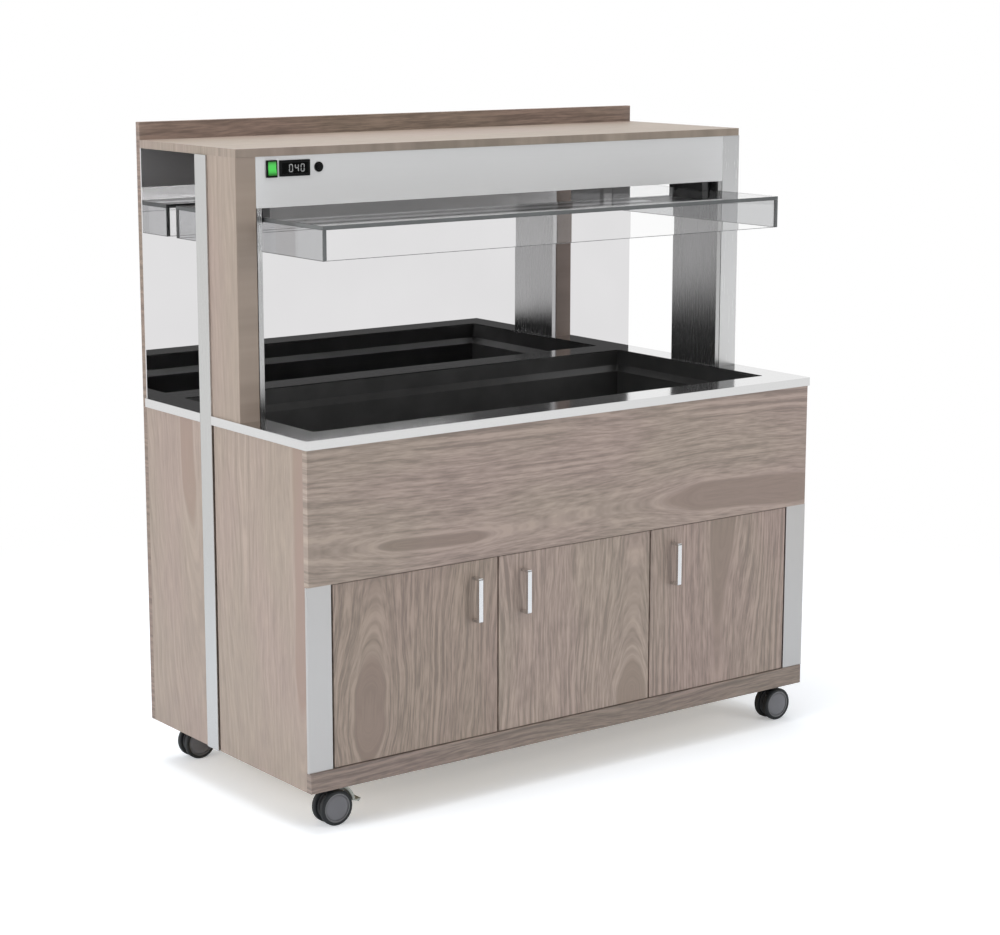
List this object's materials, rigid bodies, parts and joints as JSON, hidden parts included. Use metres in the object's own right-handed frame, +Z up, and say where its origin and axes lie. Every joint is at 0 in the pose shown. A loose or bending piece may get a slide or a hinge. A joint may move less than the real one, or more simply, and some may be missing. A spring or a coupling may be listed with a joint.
{
  "type": "heated salad bar",
  "caption": "Free-standing heated salad bar on castors: heated well in a steel worktop, hanging glass guard under a shelf on posts, mirrored back, cupboard with hinged doors.",
  "frame": {"origin": "on the floor, midway across the overall width and the overall depth, handles included", "axes": "+X along the front from left to right, +Y from the front to the mirrored back, +Z up"},
  "size_m": [1.45, 0.725, 1.5],
  "materials": {
    "wood_laminate": "matt grained laminate, grey-brown oak",
    "inner_board": "matt light grey laminate",
    "birch_ply": "lacquered plywood",
    "brushed_steel": "brushed along its length",
    "polished_steel": "polished",
    "handle_steel": "satin",
    "well_enamel": "black satin enamel",
    "zinc_steel": "zinc plated",
    "dark_painted": "satin dark paint",
    "mirror": "silvered",
    "glass": "clear toughened",
    "aluminium": "anodised",
    "black_plastic": "satin black",
    "display_window": "smoked, glossy",
    "green_plastic": "translucent green",
    "silicone": "matt silicone",
    "mineral_wool": "felted",
    "brass": "nickel plated, satin",
    "red_paint": "gloss",
    "tyre": "matt",
    "hub_grey": "satin grey",
    "fork_plastic": "satin black",
    "brake_grey": "satin light grey"
  },
  "bodies": {
    "cabinet": {"apron": "wood_laminate", "bottom_rail": "wood_laminate", "back_board": "wood_laminate", "side_panels_left": "wood_laminate", "side_panels_right": "wood_laminate", "top_shelf": "wood_laminate", "post_claddings": "wood_laminate", "cupboard_floor": "inner_board", "cupboard_ceiling": "inner_board", "partitions": "inner_board", "worktop_core": "inner_board", "base_board": "birch_ply", "upright_left": "brushed_steel", "upright_right": "brushed_steel", "corner_strips": "brushed_steel", "canopy_front": "brushed_steel", "canopy_rear": "brushed_steel", "worktop_skin": "polished_steel", "post_linings": "polished_steel", "well_rim": "well_enamel", "well_tank": "well_enamel", "well_casing": "zinc_steel", "pivot_pins": "zinc_steel", "castor_plates": "zinc_steel", "canopy_floor": "dark_painted", "guard_hangers": "dark_painted", "mirror": "mirror", "glass_guard": "glass", "light_bar": "aluminium", "control_housings": "black_plastic", "display": "black_plastic", "magnet_catches": "black_plastic", "cable_gland": "black_plastic", "display_window": "display_window", "heating_mats": "silicone", "insulation": "mineral_wool", "drain_valve": "brass"},
    "door_left_leaf": {"door_left": "wood_laminate", "handle_left": "handle_steel"},
    "door_middle_leaf": {"door_middle": "wood_laminate", "handle_middle": "handle_steel"},
    "door_right_leaf": {"door_right": "wood_laminate", "handle_right": "handle_steel"},
    "rocker": {"rocker": "green_plastic"},
    "light_button": {"light_button": "black_plastic"},
    "drain_lever": {"drain_lever": "red_paint"},
    "castor_front_left_swivel": {"castor_front_left_fork": "fork_plastic"},
    "castor_front_left_wheels": {"castor_front_left_tyres": "tyre", "castor_front_left_hubs": "hub_grey"},
    "castor_front_left_brake": {"castor_front_left_brake": "brake_grey"},
    "castor_front_right_swivel": {"castor_front_right_fork": "fork_plastic"},
    "castor_front_right_wheels": {"castor_front_right_tyres": "tyre", "castor_front_right_hubs": "hub_grey"},
    "castor_rear_left_swivel": {"castor_rear_left_fork": "fork_plastic"},
    "castor_rear_left_wheels": {"castor_rear_left_tyres": "tyre", "castor_rear_left_hubs": "hub_grey"},
    "castor_rear_left_brake": {"castor_rear_left_brake": "brake_grey"},
    "castor_rear_right_swivel": {"castor_rear_right_fork": "fork_plastic"},
    "castor_rear_right_wheels": {"castor_rear_right_tyres": "tyre", "castor_rear_right_hubs": "hub_grey"}
  },
  "joints": [
    {"name": "door_left_hinge", "type": "hinge", "parent": "cabinet", "child": "door_left_leaf", "pos_m": [-0.6495, -0.3255, 0.35], "axis": [0, 0, -1], "range_deg": [0, 105]},
    {"name": "door_middle_hinge", "type": "hinge", "parent": "cabinet", "child": "door_middle_leaf", "pos_m": [0.2153, -0.3255, 0.35], "axis": [0, 0, 1], "range_deg": [0, 105]},
    {"name": "door_right_hinge", "type": "hinge", "parent": "cabinet", "child": "door_right_leaf", "pos_m": [0.6495, -0.3255, 0.35], "axis": [0, 0, 1], "range_deg": [0, 105]},
    {"name": "rocker_tilt", "type": "hinge", "parent": "cabinet", "child": "rocker", "pos_m": [-0.6315, -0.0695, 1.415], "axis": [1, 0, 0], "range_deg": [0, 14]},
    {"name": "light_button_press", "type": "slide", "parent": "cabinet", "child": "light_button", "axis": [0, 1, 0], "range_m": [0, 0.0025], "stiffness_N_per_m": 400, "springref_m": -0.001},
    {"name": "drain_lever_turn", "type": "hinge", "parent": "cabinet", "child": "drain_lever", "pos_m": [0.58, -0.1575, 0.489], "axis": [0, -1, 0], "range_deg": [0, 90]},
    {"name": "castor_front_left_swivel_turn", "type": "hinge", "parent": "cabinet", "child": "castor_front_left_swivel", "pos_m": [-0.657, -0.275, 0.09], "axis": [0, 0, 1], "continuous": true},
    {"name": "castor_front_left_wheel_roll", "type": "hinge", "parent": "castor_front_left_swivel", "child": "castor_front_left_wheels", "pos_m": [-0.629, -0.275, 0.04], "axis": [0, 1, 0], "continuous": true},
    {"name": "castor_front_left_brake_press", "type": "hinge", "parent": "castor_front_left_swivel", "child": "castor_front_left_brake", "pos_m": [-0.614, -0.275, 0.066], "axis": [0, 1, 0], "range_deg": [0, 12]},
    {"name": "castor_front_right_swivel_turn", "type": "hinge", "parent": "cabinet", "child": "castor_front_right_swivel", "pos_m": [0.657, -0.275, 0.09], "axis": [0, 0, 1], "continuous": true},
    {"name": "castor_front_right_wheel_roll", "type": "hinge", "parent": "castor_front_right_swivel", "child": "castor_front_right_wheels", "pos_m": [0.685, -0.275, 0.04], "axis": [0, 1, 0], "continuous": true},
    {"name": "castor_rear_left_swivel_turn", "type": "hinge", "parent": "cabinet", "child": "castor_rear_left_swivel", "pos_m": [-0.657, 0.3145, 0.09], "axis": [0, 0, 1], "continuous": true},
    {"name": "castor_rear_left_wheel_roll", "type": "hinge", "parent": "castor_rear_left_swivel", "child": "castor_rear_left_wheels", "pos_m": [-0.629, 0.3145, 0.04], "axis": [0, 1, 0], "continuous": true},
    {"name": "castor_rear_left_brake_press", "type": "hinge", "parent": "castor_rear_left_swivel", "child": "castor_rear_left_brake", "pos_m": [-0.614, 0.3145, 0.066], "axis": [0, 1, 0], "range_deg": [0, 12]},
    {"name": "castor_rear_right_swivel_turn", "type": "hinge", "parent": "cabinet", "child": "castor_rear_right_swivel", "pos_m": [0.657, 0.3145, 0.09], "axis": [0, 0, 1], "continuous": true},
    {"name": "castor_rear_right_wheel_roll", "type": "hinge", "parent": "castor_rear_right_swivel", "child": "castor_rear_right_wheels", "pos_m": [0.685, 0.3145, 0.04], "axis": [0, 1, 0], "continuous": true}
  ]
}
